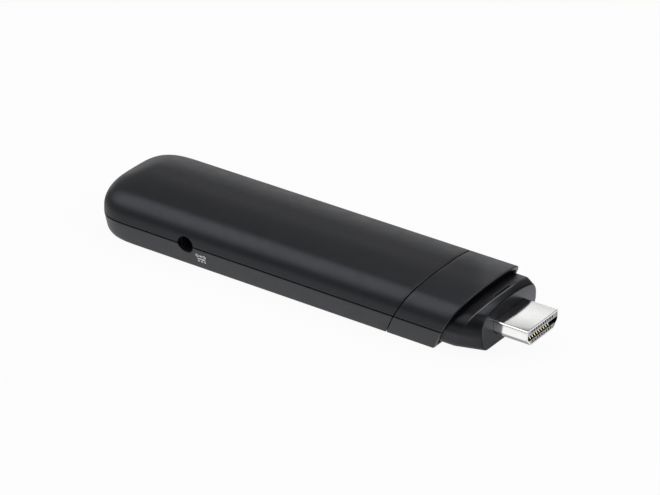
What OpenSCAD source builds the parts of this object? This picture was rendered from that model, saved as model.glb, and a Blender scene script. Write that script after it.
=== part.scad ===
// Stick computer with an HDMI plug: a short rounded bar whose plug end is set off by two slanted seams.
// Millimetres. +X toward the plug, -Y the side with the power socket, +Z up, underside on z = 0.

/* [Overall] */

// Tail to plug tip
overall_length = 122; // [118:1:130]
// Width across the parting line
body_width = 31; // [30:0.5:34]
// Underside to crest
body_height = 14.9; // [14.5:0.2:16.5]
// Height of the parting line between the shells
parting_height = 6.4; // [6.2:0.1:6.7]

/* [Casing shape] */

// Radius from side to top
shoulder_radius = 5.7; // [5:0.1:6.2]
// Radius of the crown across the top
crown_radius = 38; // [34:1:60]
// Half width of the level strip along the crest
crest_half = 2; // [1:0.5:3]
// How far the lower wall leans in at the underside
lower_lean = 2.3; // [1.5:0.1:2.6]
// Radius of the lower edge
lower_edge_radius = 0.6; // [0.4:0.1:0.9]
// Depth of the round at the tail, seen from above
tail_depth = 12.5; // [11:0.5:14]
// Squareness of the tail, seen from above
tail_power = 3.6; // [3:0.1:4.2]
// Radius of the lower edge round the tail
tail_edge_radius = 2.2; // [1.9:0.1:2.6]
// Wall of the two shells
wall = 1.2; // [1.1:0.05:1.3]
// Open width of every visible seam
seam_gap = 0.25; // [0.15:0.05:0.35]

/* [Collar, nose and plug] */

// Lean of the two slanted seams from upright
seam_angle = 27.8; // [22:0.2:30]
// Seam to seam along the parting line
collar_length = 13.5; // [12:0.5:15]
// Wall of the collar
collar_wall = 1; // [0.9:0.05:1.1]
// Collar's front edge, on the parting line, to the nose's face
nose_reach = 9.2; // [8.5:0.1:10]
// How far the nose lies inside the casing's outline
nose_inset = 1.4; // [1.35:0.05:1.6]
// Wall of the nose
nose_wall = 1.2; // [1:0.1:1.3]
// Length of the bevel at the nose's crest
nose_bevel = 1.8; // [1.4:0.1:2.2]
// Nose's face to plug tip
plug_reach = 9.3; // [9:0.1:11]
// Width of the plug's shell
plug_width = 13.9; // [13.8:0.05:14]
// Height of the plug's shell
plug_height = 4.45; // [4.4:0.05:4.55]

/* [Sockets and switch] */

// Place of the power socket along the shells, as a share of their length
jack_share = 0.322; // [0.31:0.002:0.34]
// Hole in the casing for the power plug
jack_hole = 4.6; // [4.4:0.1:5]
// Bore of the power socket
jack_bore = 4.3; // [4:0.1:4.3]
// Centre pin of the power socket
jack_pin_diameter = 1.3; // [1:0.1:1.6]
// Inside width of the USB port
usb_width = 12.5; // [12.4:0.05:12.6]
// Inside height of the USB port
usb_height = 5.12; // [5.1:0.02:5.2]
// Pinhole over the reset switch
pinhole = 1.5; // [1.2:0.1:1.6]
// Travel of the reset switch's plunger
switch_travel = 0.25; // [0.2:0.05:0.3]

/* [Board] */

// Thickness of the mainboard
board_thickness = 1; // [0.8:0.1:1.2]
// Side of the square processor
processor_size = 19; // [17:0.5:20]
// Fins on the heat spreader
fin_count = 6; // [4:1:7]

/* [Hidden] */

$fn = 48;

// Steps along each curve of the casing
shoulder_steps = 9;
crown_steps = 4;
edge_steps = 3;
tail_steps = 11;
tail_edge_steps = 4;

// Fits
fit = 0.1;
overlap = 0.2;
beyond = 2;

// Stations along the length
half_width = body_width / 2;
tail_x = -overall_length / 2;
tip_x = overall_length / 2;
nose_x = tip_x - plug_reach;
collar_x = nose_x - nose_reach;
seam_x = collar_x - collar_length;
seam_slant = tan(seam_angle);
sleeve_depth = 3;
nose_taper = 1.5;
nose_taper_x = collar_x + nose_taper;
nose_bevel_x = nose_x - nose_bevel;

// Centres of the section's arcs
shoulder_y = half_width - shoulder_radius;
crown_z = body_height - crown_radius;
shoulder_z = crown_z + sqrt(pow(crown_radius - shoulder_radius, 2) - pow(shoulder_y - crest_half, 2));
shoulder_turn = atan2(shoulder_z - crown_z, shoulder_y - crest_half);
lean_angle = atan(lower_lean / parting_height);

// Edges of the upper and lower pieces along the parting line
upper_edge_z = parting_height + seam_gap / 2;
lower_edge_z = parting_height - seam_gap / 2;

// How much of the shoulder's inset the tail's end follows
tail_share = 0.59;

// Least arc under the tail, as a share of the lower edge's radius
edge_clearance = 1.5;

// Tongue on the lower shell's rim, standing in the upper shell
lip_inset = 0.65;
lip_top_z = parting_height + 0.9;
lip_foot = 0.6;
lip_setback = 1;

// Board and what stands on it
board_mid = parting_height + 0.3;
board_top = board_mid + board_thickness / 2;
board_bottom = board_mid - board_thickness / 2;
board_edge = 0.7;
board_half = half_width - wall - board_edge;
board_nose_half = half_width - nose_inset - nose_wall - 1.4 * board_edge;
board_plug_half = plug_width / 2 - 0.8 * board_edge;
board_tail_gap = 4;
board_tail_x = tail_x + board_tail_gap;
board_step = 9;
board_step_x = seam_x - board_step;
plug_inside = 6.7;
plug_rear_x = nose_x - plug_inside;
board_front_x = plug_rear_x - board_edge;
board_neck = 6;
board_neck_x = plug_rear_x - board_neck;

// HDMI plug
plug_sheet = 0.3;
plug_corner = 0.45;
plug_side = 2.65;
plug_foot = 1.78;
contact_pitch = 1;
contact_width = 0.4;
contact_sheet = 0.2;
cavity_width = 11.3;
cavity_height = 1.4;
cavity_depth = 7;

// USB port
usb_sheet = 0.3;
usb_corner = 0.3;
usb_length = 14;
usb_setback = 0.4;
usb_x = tail_x + usb_setback;
usb_base = 2.5;
tongue_width = 11.1;
tongue_thickness = 1.84;
tongue_top_gap = 0.95;
tongue_length = 8.9;
usb_contact_places = [-3.5, -1, 1, 3.5];
usb_contact_width = 1;
usb_contact_sheet = 0.25;

// Power socket
jack_x = tail_x + jack_share * (seam_x - tail_x);
jack_z = parting_height;
jack_ring_wall = 0.5;
jack_ring = jack_bore + 2 * jack_ring_wall;
jack_body = [6.2, 8.2, 5.6];
jack_ring_length = 1.2;
jack_mouth_y = -half_width + wall + fit;
jack_front_y = jack_mouth_y + jack_ring_length;
jack_rear_y = jack_front_y + jack_body[1];
jack_back_wall = 1.2;
jack_slot = 1.4;
jack_pin_tail = 0.6;

// Processor and the heat spreader over it
processor_setback = 21;
processor_x = seam_x - processor_setback;
processor_height = 1.2;
pad_size = 15;
pad_height = 0.5;
pad_top = board_top + processor_height + pad_height;
spreader_behind = 17.8;
spreader_ahead = 4.9;
spreader_ends = [
    processor_x - processor_size / 2 - spreader_behind,
    processor_x + processor_size / 2 + spreader_ahead
];
spreader_margin = 3.2;
spreader_half = board_half - spreader_margin;
spreader_thickness = 1.2;
fin_clearance = 1.5;
fin_top = body_height - wall - fin_clearance;
fin_thickness = 0.9;
fin_pitch = 2;
post_diameter = 4.2;
post_margin = 1.8;
post_y = spreader_half - post_margin;
post_setback = 2.1;
post_ends = [spreader_ends[0] + post_setback, spreader_ends[1] - post_setback];

// Screws
screw_diameter = 1.6;
screw_hole = 1.75;
screw_head = 2.8;
screw_head_height = 0.9;
screw_floor = 1;
screw_end_z = wall + screw_floor;

// Reset switch
switch_ahead = 8.4;
switch_x = processor_x + switch_ahead;
switch_size = [4.2, 2.6, 2];
switch_z = board_top + switch_size[2] / 2;
switch_edge = 0.2;
switch_front_y = board_half - switch_edge;
switch_bore = 1.6;
switch_bore_y = switch_front_y - 1.8;
plunger_diameter = 1.1;
plunger_clearance = 0.15;
plunger_front_y = half_width - wall - plunger_clearance;
plunger_rear_y = switch_bore_y + switch_travel + plunger_clearance;

// Wireless module
wireless_size = 12;
wireless_height = 0.6;
wireless_x = (usb_x + usb_length + spreader_ends[0]) / 2;
wireless_y = 6.6;

// Drawing helpers

function unit(v) = v / norm(v);

function reversed(list) = [for (i = [len(list) - 1:-1:0]) list[i]];

function mirrored(list) = [for (p = list) [-p[0], p[1]]];

function slanted(x, z) = x + seam_slant * (z - parting_height);

// Polygon with every corner rounded by an arc
function rounded(points, radius, steps = 4) = [
    for (i = [0:len(points) - 1])
        let (
            corner = points[i],
            back = unit(points[(i + len(points) - 1) % len(points)] - corner),
            ahead = unit(points[(i + 1) % len(points)] - corner),
            half_angle = acos(back * ahead) / 2,
            centre = corner + unit(back + ahead) * radius / sin(half_angle),
            first = corner + back * radius / tan(half_angle) - centre,
            last = corner + ahead * radius / tan(half_angle) - centre,
            start = atan2(first[1], first[0]),
            sweep = (atan2(last[1], last[0]) - start + 540) % 360 - 180
        )
        for (k = [0:steps])
            centre + radius * [cos(start + sweep * k / steps), sin(start + sweep * k / steps)]
];

function box_outline(width, height) = [
    [-width / 2, -height / 2], [width / 2, -height / 2], [width / 2, height / 2], [-width / 2, height / 2]
];

// Solid through rings of equally many points, each ring clockwise seen from the last one
module loft(rings) {
    count = len(rings[0]);
    last = len(rings) - 1;
    walls = [
        for (j = [0:last - 1], i = [0:count - 1])
            let (
                a = j * count + i,
                b = j * count + (i + 1) % count
            )
            for (triangle = [[a, b, b + count], [a, b + count, a + count]])
                triangle
    ];
    first_cap = reversed([for (i = [0:count - 1]) i]);
    last_cap = [for (i = [0:count - 1]) last * count + i];
    polyhedron([for (ring = rings) for (p = ring) p], concat([first_cap, last_cap], walls));
}

module along_x(x0, x1, z = 0)
    translate([x0, 0, z])
        rotate([90, 0, 90])
            linear_extrude(x1 - x0)
                children();

module rod_y(x, z, diameter, y0, y1)
    translate([x, y0, z])
        rotate([-90, 0, 0])
            cylinder(d = diameter, h = y1 - y0);

module slab(x, y, z0, size)
    translate([x - size[0] / 2, y - size[1] / 2, z0])
        cube(size);

// Casing outlines

// Upper half outline [y, z] from height start up to the crest
function upper_profile(inset, start) = concat(
    [[half_width - inset, start]],
    [
        for (i = [0:shoulder_steps])
            let (a = shoulder_turn * i / shoulder_steps)
            [shoulder_y + (shoulder_radius - inset) * cos(a), shoulder_z + (shoulder_radius - inset) * sin(a)]
    ],
    [
        for (i = [1:crown_steps])
            let (a = shoulder_turn + (90 - shoulder_turn) * i / crown_steps)
            [crest_half + (crown_radius - inset) * cos(a), crown_z + (crown_radius - inset) * sin(a)]
    ]
);

function lower_y(inset, z) = half_width - inset / cos(lean_angle) - lower_lean * (1 - z / parting_height);

// Lower half outline [y, z] from the underside up to height end
function lower_profile(inset, radius, end) =
    let (
        touch_z = inset + radius * (1 - sin(lean_angle)),
        centre_y = lower_y(inset, touch_z) - radius * cos(lean_angle)
    )
    concat(
        [
            for (i = [0:edge_steps])
                let (a = -90 + (90 - lean_angle) * i / edge_steps)
                [centre_y + radius * cos(a), inset + radius + radius * sin(a)]
        ],
        [[lower_y(inset, end), end]]
    );

// Outline from above at one height: near side, round tail, far side
function plan_ring(half, z, end_x, depth, front_x) = concat(
    [[front_x, -half, z]],
    [
        for (i = [0:2 * tail_steps])
            let (
                a = 90 * i / tail_steps,
                across = sign(cos(a)) * pow(abs(cos(a)), 2 / tail_power),
                along = pow(abs(sin(a)), 2 / tail_power)
            )
            [end_x + depth * (1 - along), -half * across, z]
    ],
    [[front_x, half, z]]
);

module upper_form(inset, start, front)
    loft([
        for (p = upper_profile(inset, start))
            plan_ring(
                p[0], p[1],
                tail_x + inset + tail_share * (half_width - inset - p[0]),
                tail_depth - inset,
                slanted(front, p[1])
            )
    ]);

// The tail's end keeps upright and turns under in an arc, which inside the wall still clears the lower edge
module lower_form(inset, radius, end, front) {
    turn = max(tail_edge_radius - inset, edge_clearance * radius);
    foot = lower_profile(inset, radius, inset + turn);
    touch_z = foot[edge_steps][1];
    rise = [for (i = [1:tail_edge_steps]) touch_z + (inset + turn - touch_z) * i / tail_edge_steps];
    wall_points = [for (z = concat(rise, [end])) [lower_y(inset, z), z]];
    loft([
        for (p = concat([for (i = [0:edge_steps]) foot[i]], wall_points))
            let (under = min(max(1 - (p[1] - inset) / turn, 0), 1))
            plan_ring(
                p[0], p[1],
                tail_x + inset + turn * (1 - sqrt(1 - pow(under, 2))),
                tail_depth - inset,
                slanted(front, p[1])
            )
    ]);
}

module plan_prism(inset, z0, z1, front)
    loft([
        for (z = [z0, z1])
            plan_ring(half_width - inset, z, tail_x + inset, tail_depth - inset, slanted(front, z))
    ]);

// Bar with the upper or lower half outline as its section and ends leaning by slant
module half_bar(profile, rear, front, slant) {
    loop = concat(mirrored(profile), reversed(profile));
    loft([
        for (x = [rear, front])
            [for (p = loop) [x + slant * (p[1] - parting_height), p[0], p[1]]]
    ]);
}

// Arched band between two insets
module upper_band(outer, inner, start, rear, front, slant)
    difference() {
        half_bar(upper_profile(outer, start), rear, front, slant);
        half_bar(upper_profile(inner, start - beyond), rear - beyond, front + beyond, slant);
    }

// Trough-shaped band between two insets
module lower_band(outer, inner, radius, end, rear, front, slant)
    difference() {
        half_bar(lower_profile(outer, radius, end), rear, front, slant);
        half_bar(lower_profile(inner, radius, end + beyond), rear - beyond, front + beyond, slant);
    }

// Section of the USB port's inside, grown on every side
function usb_outline(grow) =
    rounded(box_outline(usb_width + 2 * grow, usb_height + 2 * grow), usb_corner + grow);

// Openings that both shells share
module socket_openings() {
    rod_y(jack_x, jack_z, jack_hole, -half_width - beyond, jack_front_y);
    rod_y(jack_x, jack_z, jack_ring + 2 * fit, jack_mouth_y - fit, jack_front_y + fit);
    along_x(tail_x - beyond, tail_x + 2 * wall, board_mid)
        polygon(usb_outline(usb_sheet + 2 * fit));
}

// Casing

rear_rib = 16;
front_rib = 8;
rib_places = [board_tail_x + rear_rib, seam_x - front_rib];
rib_thickness = 0.8;
rib_depth = 0.8;
lower_rib_width = 1.4 * half_width;

module upper_shell()
    color("#2b2b2e")
        difference() {
            union() {
                difference() {
                    upper_form(0, upper_edge_z, seam_x - seam_gap / 2);
                    upper_form(wall, parting_height - beyond, seam_x + beyond);
                }
                for (x = rib_places)
                    upper_band(wall - overlap, wall + rib_depth, shoulder_z, x, x + rib_thickness, 0);
            }
            plan_prism(lip_inset - fit, parting_height - beyond, lip_top_z + fit, seam_x + beyond);
            socket_openings();
            rod_y(switch_x, switch_z, pinhole, half_width - wall - beyond, half_width + beyond);
        }

module lower_shell()
    color("#2b2b2e")
        difference() {
            union() {
                difference() {
                    lower_form(0, lower_edge_radius, lower_edge_z, seam_x - seam_gap / 2);
                    lower_form(wall, lower_edge_radius, parting_height + beyond, seam_x + beyond);
                }
                difference() {
                    plan_prism(lip_inset, parting_height - lip_foot, lip_top_z, seam_x - lip_setback);
                    plan_prism(wall, parting_height - beyond, parting_height + beyond, seam_x + beyond);
                }
                for (x = post_ends, y = [-post_y, post_y])
                    translate([x, y, wall - overlap])
                        cylinder(d = post_diameter, h = board_bottom - wall + overlap);
                for (x = rib_places)
                    slab(x, 0, wall - overlap, [rib_thickness, lower_rib_width, rib_depth + overlap]);
            }
            for (x = post_ends, y = [-post_y, post_y])
                translate([x, y, wall + rib_depth])
                    cylinder(d = screw_diameter, h = board_bottom);
            socket_openings();
        }

collar_rib_places = [collar_length * 0.25, collar_length * 0.5];
collar_rib = 1;

module upper_collar()
    color("#2f2f32")
        union() {
            upper_band(0, collar_wall, upper_edge_z, seam_x + seam_gap / 2, collar_x, seam_slant);
            for (place = collar_rib_places)
                upper_band(
                    collar_wall / 2, nose_inset - fit / 2, upper_edge_z + fit,
                    seam_x + place, seam_x + place + collar_rib, seam_slant
                );
        }

module lower_collar()
    color("#2f2f32")
        union() {
            lower_band(
                0, collar_wall, lower_edge_radius, lower_edge_z,
                seam_x + seam_gap / 2, collar_x, seam_slant
            );
            for (place = collar_rib_places)
                lower_band(
                    collar_wall / 2, nose_inset - fit / 2, lower_edge_radius, lower_edge_z - fit,
                    seam_x + place, seam_x + place + collar_rib, seam_slant
                );
        }

// Nose

nose_edge_radius = 2.5;
nose_height_share = 0.92;
nose_front_width = 0.865;
nose_front_top = 0.92;
nose_front_foot = 0.89;
nose_fade = 1.1;
detent = [0.6, 7, 0.35];
detent_back = 0.7;

// Above the parting line the nose is a little lower than the casing
function nose_z(z) = parting_height + nose_height_share * (z - parting_height);

function nose_loop(inset) =
    let (half = concat(
        lower_profile(inset, nose_edge_radius, parting_height),
        [for (p = upper_profile(inset, parting_height + 0.5)) [p[0], nose_z(p[1])]]
    ))
    concat(mirrored(half), reversed(half));

// The bevel starts near the face at the crest and farther back toward the underside
function nose_bevel_start(inset, z) =
    let (rise = max(z - inset, 0) / (nose_z(body_height - inset) - inset))
    nose_taper_x + (nose_bevel_x - nose_taper_x) * pow(rise, nose_fade);

// Height on the face for a height on the crease
function front_z(z) = board_mid + (z - board_mid) * (z > board_mid ? nose_front_top : nose_front_foot);

module nose_form(inset, rear, face) {
    loop = nose_loop(inset);
    back_off = nose_x - face;
    loft([
        [for (p = loop) [slanted(rear, p[1]), p[0], p[1]]],
        [for (p = loop) [nose_bevel_start(inset, p[1]) - back_off, p[0], p[1]]],
        [for (p = loop) [face, p[0] * nose_front_width, front_z(p[1])]]
    ]);
}

function plug_outline(grow) =
    let (
        half = plug_width / 2 + grow,
        top = plug_height / 2 + grow,
        turn = plug_height / 2 - plug_side - grow * 0.4,
        foot = plug_width / 2 - plug_foot + grow * 0.4
    )
    rounded(
        [[-foot, -top], [foot, -top], [half, turn], [half, top], [-half, top], [-half, turn]],
        plug_corner + grow
    );

module nose()
    color("#17171a")
        difference() {
            union() {
                nose_form(nose_inset, seam_x - sleeve_depth, nose_x);
                slab(
                    nose_bevel_x - detent_back, 0, nose_z(body_height - nose_inset) - overlap,
                    [detent[0], detent[1], detent[2] + overlap]
                );
            }
            nose_form(nose_inset + nose_wall, seam_x - sleeve_depth - beyond, nose_x - nose_wall);
            along_x(nose_x - beyond, nose_x + beyond, board_mid)
                polygon(plug_outline(1.5 * fit));
        }

// HDMI plug

plug_tab = 4;
plug_tab_height = 1.7;

module hdmi_shell()
    color("#d6d6d8")
        union() {
            difference() {
                along_x(plug_rear_x, tip_x, board_mid)
                    polygon(plug_outline(0));
                along_x(plug_rear_x - beyond, tip_x + beyond, board_mid)
                    polygon(plug_outline(-plug_sheet));
            }
            for (side = [-1, 1])
                slab(
                    plug_rear_x - plug_tab / 2, side * (plug_width - plug_sheet) / 2, board_mid,
                    [plug_tab + 2 * overlap, plug_sheet, plug_tab_height]
                );
        }

// Places of the contacts: ten above, nine below, half a pitch apart
function contact_places(row) = [for (i = [0:row > 0 ? 9 : 8]) (i - (row > 0 ? 4.5 : 4)) * contact_pitch];

insulator_rear_x = plug_rear_x;
insulator_setback = 0.15;
insulator_front_x = tip_x - insulator_setback;
groove_width = contact_width + fit;
groove_height = 0.55;
groove_floor = 0.4;
groove_z = cavity_height / 2 + groove_floor;
slot_start = 4.5;
slot_end = 0.6;

module hdmi_insulator()
    color("#c9c9c6")
        difference() {
            along_x(insulator_rear_x, insulator_front_x, board_mid)
                polygon(plug_outline(-plug_sheet - fit / 2));
            translate([insulator_front_x - cavity_depth, -cavity_width / 2, board_mid - cavity_height / 2])
                cube([cavity_depth + beyond, cavity_width, cavity_height]);
            for (row = [-1, 1], y = contact_places(row))
                translate([0, y - groove_width / 2, board_mid])
                    mirror([0, 0, row > 0 ? 0 : 1]) {
                        translate([insulator_rear_x - beyond, 0, groove_z])
                            cube([overall_length, groove_width, groove_height]);
                        translate([insulator_front_x - slot_start, 0, 0])
                            cube([slot_start - slot_end, groove_width, groove_z + overlap]);
                    }
        }

contact_level = groove_z + 0.05;
contact_drop = contact_level - board_thickness / 2;
contact_tip_x = insulator_front_x - slot_end - 2 * fit;
contact_bend = 0.8;

// Underside of one contact from the side: [x, height above its level in the insulator]
contact_path = [
    [plug_rear_x - 3, -contact_drop],
    [plug_rear_x - 1, -contact_drop],
    [plug_rear_x - 0.2, 0],
    [contact_tip_x - 2.2, 0],
    [contact_tip_x - 1, -contact_bend],
    [contact_tip_x, -contact_bend + contact_sheet]
];
contact_outline = concat(contact_path, reversed([for (p = contact_path) p + [0, contact_sheet]]));

module hdmi_contacts()
    color("#c8b070")
        for (row = [-1, 1], y = contact_places(row))
            translate([0, y + contact_width / 2, board_mid + row * contact_level])
                mirror([0, 0, row > 0 ? 0 : 1])
                    rotate([90, 0, 0])
                        linear_extrude(contact_width)
                            polygon(contact_outline);

// Board and chips

board_chamfer = 2;
board_outline = [
    [board_tail_x, -board_half + board_chamfer],
    [board_tail_x + 2 * board_chamfer, -board_half],
    [board_step_x, -board_half],
    [board_step_x + board_chamfer, -board_nose_half],
    [board_neck_x, -board_nose_half],
    [board_neck_x, -board_plug_half],
    [board_front_x, -board_plug_half]
];

function across(points) = reversed([for (p = points) [p[0], -p[1]]]);

usb_notch_x = usb_x + usb_length + 2 * fit;
usb_notch_half = usb_width / 2 + usb_sheet + 2 * fit;
jack_notch_half = jack_body[0] / 2 + 2 * fit;
jack_notch_y = jack_rear_y + jack_pin_tail + 2 * fit;

module mainboard()
    color("#1f5a38")
        difference() {
            translate([0, 0, board_bottom])
                linear_extrude(board_thickness)
                    polygon(concat(board_outline, across(board_outline)));
            translate([board_tail_x - beyond, -usb_notch_half, board_bottom - beyond])
                cube([usb_notch_x - board_tail_x + beyond, 2 * usb_notch_half, board_thickness + 2 * beyond]);
            translate([jack_x - jack_notch_half, -board_half - beyond, board_bottom - beyond])
                cube([2 * jack_notch_half, jack_notch_y + board_half + beyond, board_thickness + 2 * beyond]);
            for (x = post_ends, y = [-post_y, post_y])
                translate([x, y, board_bottom - beyond])
                    cylinder(d = screw_hole, h = board_thickness + 2 * beyond);
        }

substrate = 0.35;

module processor()
    color("#1b1b1d")
        union() {
            slab(processor_x, 0, board_top, [processor_size, processor_size, substrate]);
            slab(
                processor_x, 0, board_top + substrate / 2,
                [processor_size - 1, processor_size - 1, processor_height - substrate / 2]
            );
        }

module thermal_pad()
    color("#8d99a8")
        slab(processor_x, 0, board_top + processor_height, [pad_size, pad_size, pad_height]);

module heat_spreader()
    color("#b9bcc0")
        difference() {
            union() {
                translate([spreader_ends[0], -spreader_half, pad_top])
                    cube([spreader_ends[1] - spreader_ends[0], 2 * spreader_half, spreader_thickness]);
                for (i = [0:fin_count - 1])
                    translate([
                        spreader_ends[0],
                        (i - (fin_count - 1) / 2) * fin_pitch - fin_thickness / 2,
                        pad_top + spreader_thickness - overlap
                    ])
                        cube([
                            spreader_ends[1] - spreader_ends[0],
                            fin_thickness,
                            fin_top - pad_top - spreader_thickness + overlap
                        ]);
                for (x = post_ends, y = [-post_y, post_y])
                    translate([x, y, board_top])
                        cylinder(d = post_diameter, h = pad_top - board_top + overlap);
            }
            for (x = post_ends, y = [-post_y, post_y])
                translate([x, y, board_top - beyond])
                    cylinder(d = screw_hole, h = fin_top);
        }

module screws()
    color("#8a8c90")
        for (x = post_ends, y = [-post_y, post_y])
            translate([x, y, screw_end_z])
                union() {
                    cylinder(d = screw_diameter, h = pad_top + spreader_thickness - screw_end_z + overlap);
                    translate([0, 0, pad_top + spreader_thickness - screw_end_z])
                        cylinder(d = screw_head, h = screw_head_height);
                }

memory_size = [9, 11, 1];
memory_behind = 7.2;
memory_x = processor_x - processor_size / 2 - memory_behind;
memory_y = 6.4;

module memory_chips()
    color("#202023")
        for (side = [-1, 1])
            slab(memory_x, side * memory_y, board_top, memory_size);

storage_size = [13, 11.5, 1];

module storage_chip()
    color("#202023")
        slab(processor_x, 0, board_bottom - storage_size[2], storage_size);

power_chip_size = [7, 7, 0.9];
power_chip_behind = 17;
power_chip_x = processor_x - power_chip_behind;
power_chip_y = 4.2;

module power_chip()
    color("#202023")
        slab(power_chip_x, power_chip_y, board_bottom - power_chip_size[2], power_chip_size);

inductor_size = 4;
inductor_height = 1.8;
inductor_pitch = 5.6;
inductor_x = power_chip_x + 2.4;
inductor_y = -4.5;

module inductors()
    color("#4a4640")
        for (i = [0:2])
            translate([inductor_x + (i - 1) * inductor_pitch, inductor_y, board_bottom - inductor_height])
                linear_extrude(inductor_height)
                    polygon(rounded(box_outline(inductor_size, inductor_size), 0.6));

capacitor_size = [1, 0.5, 0.5];
capacitor_pitch = 2.2;
capacitor_off = 0.4;

module capacitors()
    color("#a58a64")
        for (side = [-1, 1], i = [0:5])
            slab(
                processor_x + (i - 2.5) * capacitor_pitch,
                side * (processor_size / 2 + capacitor_off),
                board_top,
                capacitor_size
            );

crystal_size = [2.5, 3.2, 0.8];
crystal_behind = 4.5;
crystal_x = spreader_ends[0] - crystal_behind;
crystal_y = -2.2;

module crystal()
    color("#c2c4c6")
        translate([crystal_x, crystal_y, board_top])
            linear_extrude(crystal_size[2])
                polygon(rounded(box_outline(crystal_size[0], crystal_size[1]), 0.4));

module wireless_module()
    color("#1c4c33")
        slab(wireless_x, wireless_y, board_top, [wireless_size, wireless_size, wireless_height]);

shield_margin = 0.7;
shield_size = wireless_size - 2 * shield_margin;
shield_height = 1.4;
shield_sheet = 0.2;
shield_inside = shield_size - 2 * shield_sheet;

module wireless_shield()
    color("#c5c7c9")
        difference() {
            translate([wireless_x, wireless_y, board_top + wireless_height])
                linear_extrude(shield_height)
                    polygon(rounded(box_outline(shield_size, shield_size), 0.6));
            slab(
                wireless_x, wireless_y, board_top + wireless_height - beyond,
                [shield_inside, shield_inside, shield_height - shield_sheet + beyond]
            );
        }

antenna_length = 8;
antenna_width = 3.6;
antenna_sheet = 0.25;
antenna_height = 2;
antenna_leg = 0.8;
antenna_leg_places = [-3.6, -1.4];
antenna_from_tail = 9;
antenna_from_port = 3;
antenna_x = board_tail_x + antenna_from_tail;
antenna_y = usb_notch_half + antenna_from_port;

module antenna()
    color("#c9b98c")
        union() {
            slab(
                antenna_x, antenna_y, board_top + antenna_height,
                [antenna_length, antenna_width, antenna_sheet]
            );
            for (shift = antenna_leg_places)
                slab(
                    antenna_x + shift, antenna_y - (antenna_width - antenna_sheet) / 2, board_top,
                    [antenna_leg, antenna_sheet, antenna_height + antenna_sheet / 2]
                );
        }

// USB port

usb_tab = [2, 1.2, 0.3];
usb_tab_places = [6, 11];
usb_window = [5, 2.4];
usb_window_x = 5;
usb_window_y = 3.2;

module usb_shell()
    color("#cfd0d2")
        union() {
            difference() {
                along_x(usb_x, usb_x + usb_length, board_mid)
                    polygon(usb_outline(usb_sheet));
                along_x(usb_x - beyond, usb_x + usb_length - usb_sheet, board_mid)
                    polygon(usb_outline(0));
                for (side = [-1, 1])
                    slab(
                        usb_x + usb_window_x, side * usb_window_y, board_mid - usb_height,
                        [usb_window[0], usb_window[1], 2 * usb_height]
                    );
            }
            for (side = [-1, 1], x = usb_tab_places)
                slab(
                    usb_x + x, side * (usb_width / 2 + usb_sheet + usb_tab[1] / 2 - overlap / 2), board_top,
                    [usb_tab[0], usb_tab[1] + overlap, usb_tab[2]]
                );
        }

tongue_top_z = board_mid + usb_height / 2 - tongue_top_gap;
tongue_bottom_z = tongue_top_z - tongue_thickness;
usb_base_x = usb_x + usb_length - usb_sheet - usb_base;

module usb_tongue()
    color("#26262a")
        difference() {
            union() {
                along_x(usb_base_x, usb_base_x + usb_base, board_mid)
                    polygon(usb_outline(-fit / 2));
                translate([usb_base_x - tongue_length, -tongue_width / 2, tongue_bottom_z])
                    cube([tongue_length + overlap, tongue_width, tongue_thickness]);
            }
            for (y = usb_contact_places)
                slab(
                    usb_base_x + usb_base / 2, y, tongue_bottom_z - 2 * usb_contact_sheet,
                    [usb_base + 2 * overlap, usb_contact_width + fit, 2 * usb_contact_sheet]
                );
        }

module usb_contacts()
    color("#c8b070")
        for (y = usb_contact_places)
            slab(
                usb_base_x + (usb_base - tongue_length) / 2, y, tongue_bottom_z - usb_contact_sheet,
                [tongue_length + usb_base - 1.2, usb_contact_width, usb_contact_sheet]
            );

// Power socket

jack_ear = [1.2, 3, 0.6];
jack_pin_y = jack_front_y + jack_pin_diameter / 2;

module jack_housing()
    color("#232326")
        difference() {
            union() {
                translate([jack_x - jack_body[0] / 2, jack_front_y, jack_z - jack_body[2] / 2])
                    cube(jack_body);
                rod_y(jack_x, jack_z, jack_ring, jack_mouth_y, jack_front_y + overlap);
                for (side = [-1, 1])
                    slab(
                        jack_x + side * (jack_body[0] + jack_ear[0] - overlap) / 2,
                        jack_rear_y - jack_ear[1],
                        board_top,
                        [jack_ear[0] + overlap, jack_ear[1], jack_ear[2]]
                    );
            }
            rod_y(jack_x, jack_z, jack_bore, jack_mouth_y - beyond, jack_rear_y - jack_back_wall);
            rod_y(jack_x, jack_z, jack_pin_diameter, jack_front_y, jack_rear_y + beyond);
            slab(
                jack_x, (jack_front_y + jack_rear_y) / 2 - 0.4, jack_z + jack_bore / 4,
                [jack_slot, jack_body[1] - 2 * jack_back_wall, jack_body[2]]
            );
        }

module jack_pin()
    color("#cfd0d2")
        union() {
            rod_y(jack_x, jack_z, jack_pin_diameter, jack_pin_y, jack_rear_y + jack_pin_tail);
            translate([jack_x, jack_pin_y, jack_z])
                sphere(d = jack_pin_diameter);
        }

spring_sheet = 0.2;
spring_top_z = jack_z + jack_body[2] / 2 - spring_sheet;
spring_dip = 0.75;
spring_front_y = jack_front_y + jack_back_wall - 0.4;
spring_dip_y = jack_front_y + 3;
spring_rear_y = jack_rear_y - jack_back_wall - 0.4;

// The spring from the side: [y, z], a strip that dips into the bore
spring_outline = [
    [spring_front_y, spring_top_z],
    [spring_dip_y, spring_top_z - spring_dip],
    [spring_rear_y, spring_top_z],
    [spring_rear_y, spring_top_z + spring_sheet],
    [spring_dip_y, spring_top_z - spring_dip + spring_sheet],
    [spring_front_y, spring_top_z + spring_sheet]
];

module jack_spring()
    color("#cfd0d2")
        along_x(jack_x - jack_slot / 2 + 2 * fit, jack_x + jack_slot / 2 - 2 * fit)
            polygon(spring_outline);

// Reset switch

module switch_body()
    color("#2a2a2d")
        difference() {
            slab(switch_x, switch_front_y - switch_size[1] / 2, board_top, switch_size);
            rod_y(switch_x, switch_z, switch_bore, switch_bore_y, switch_front_y + beyond);
        }

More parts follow.
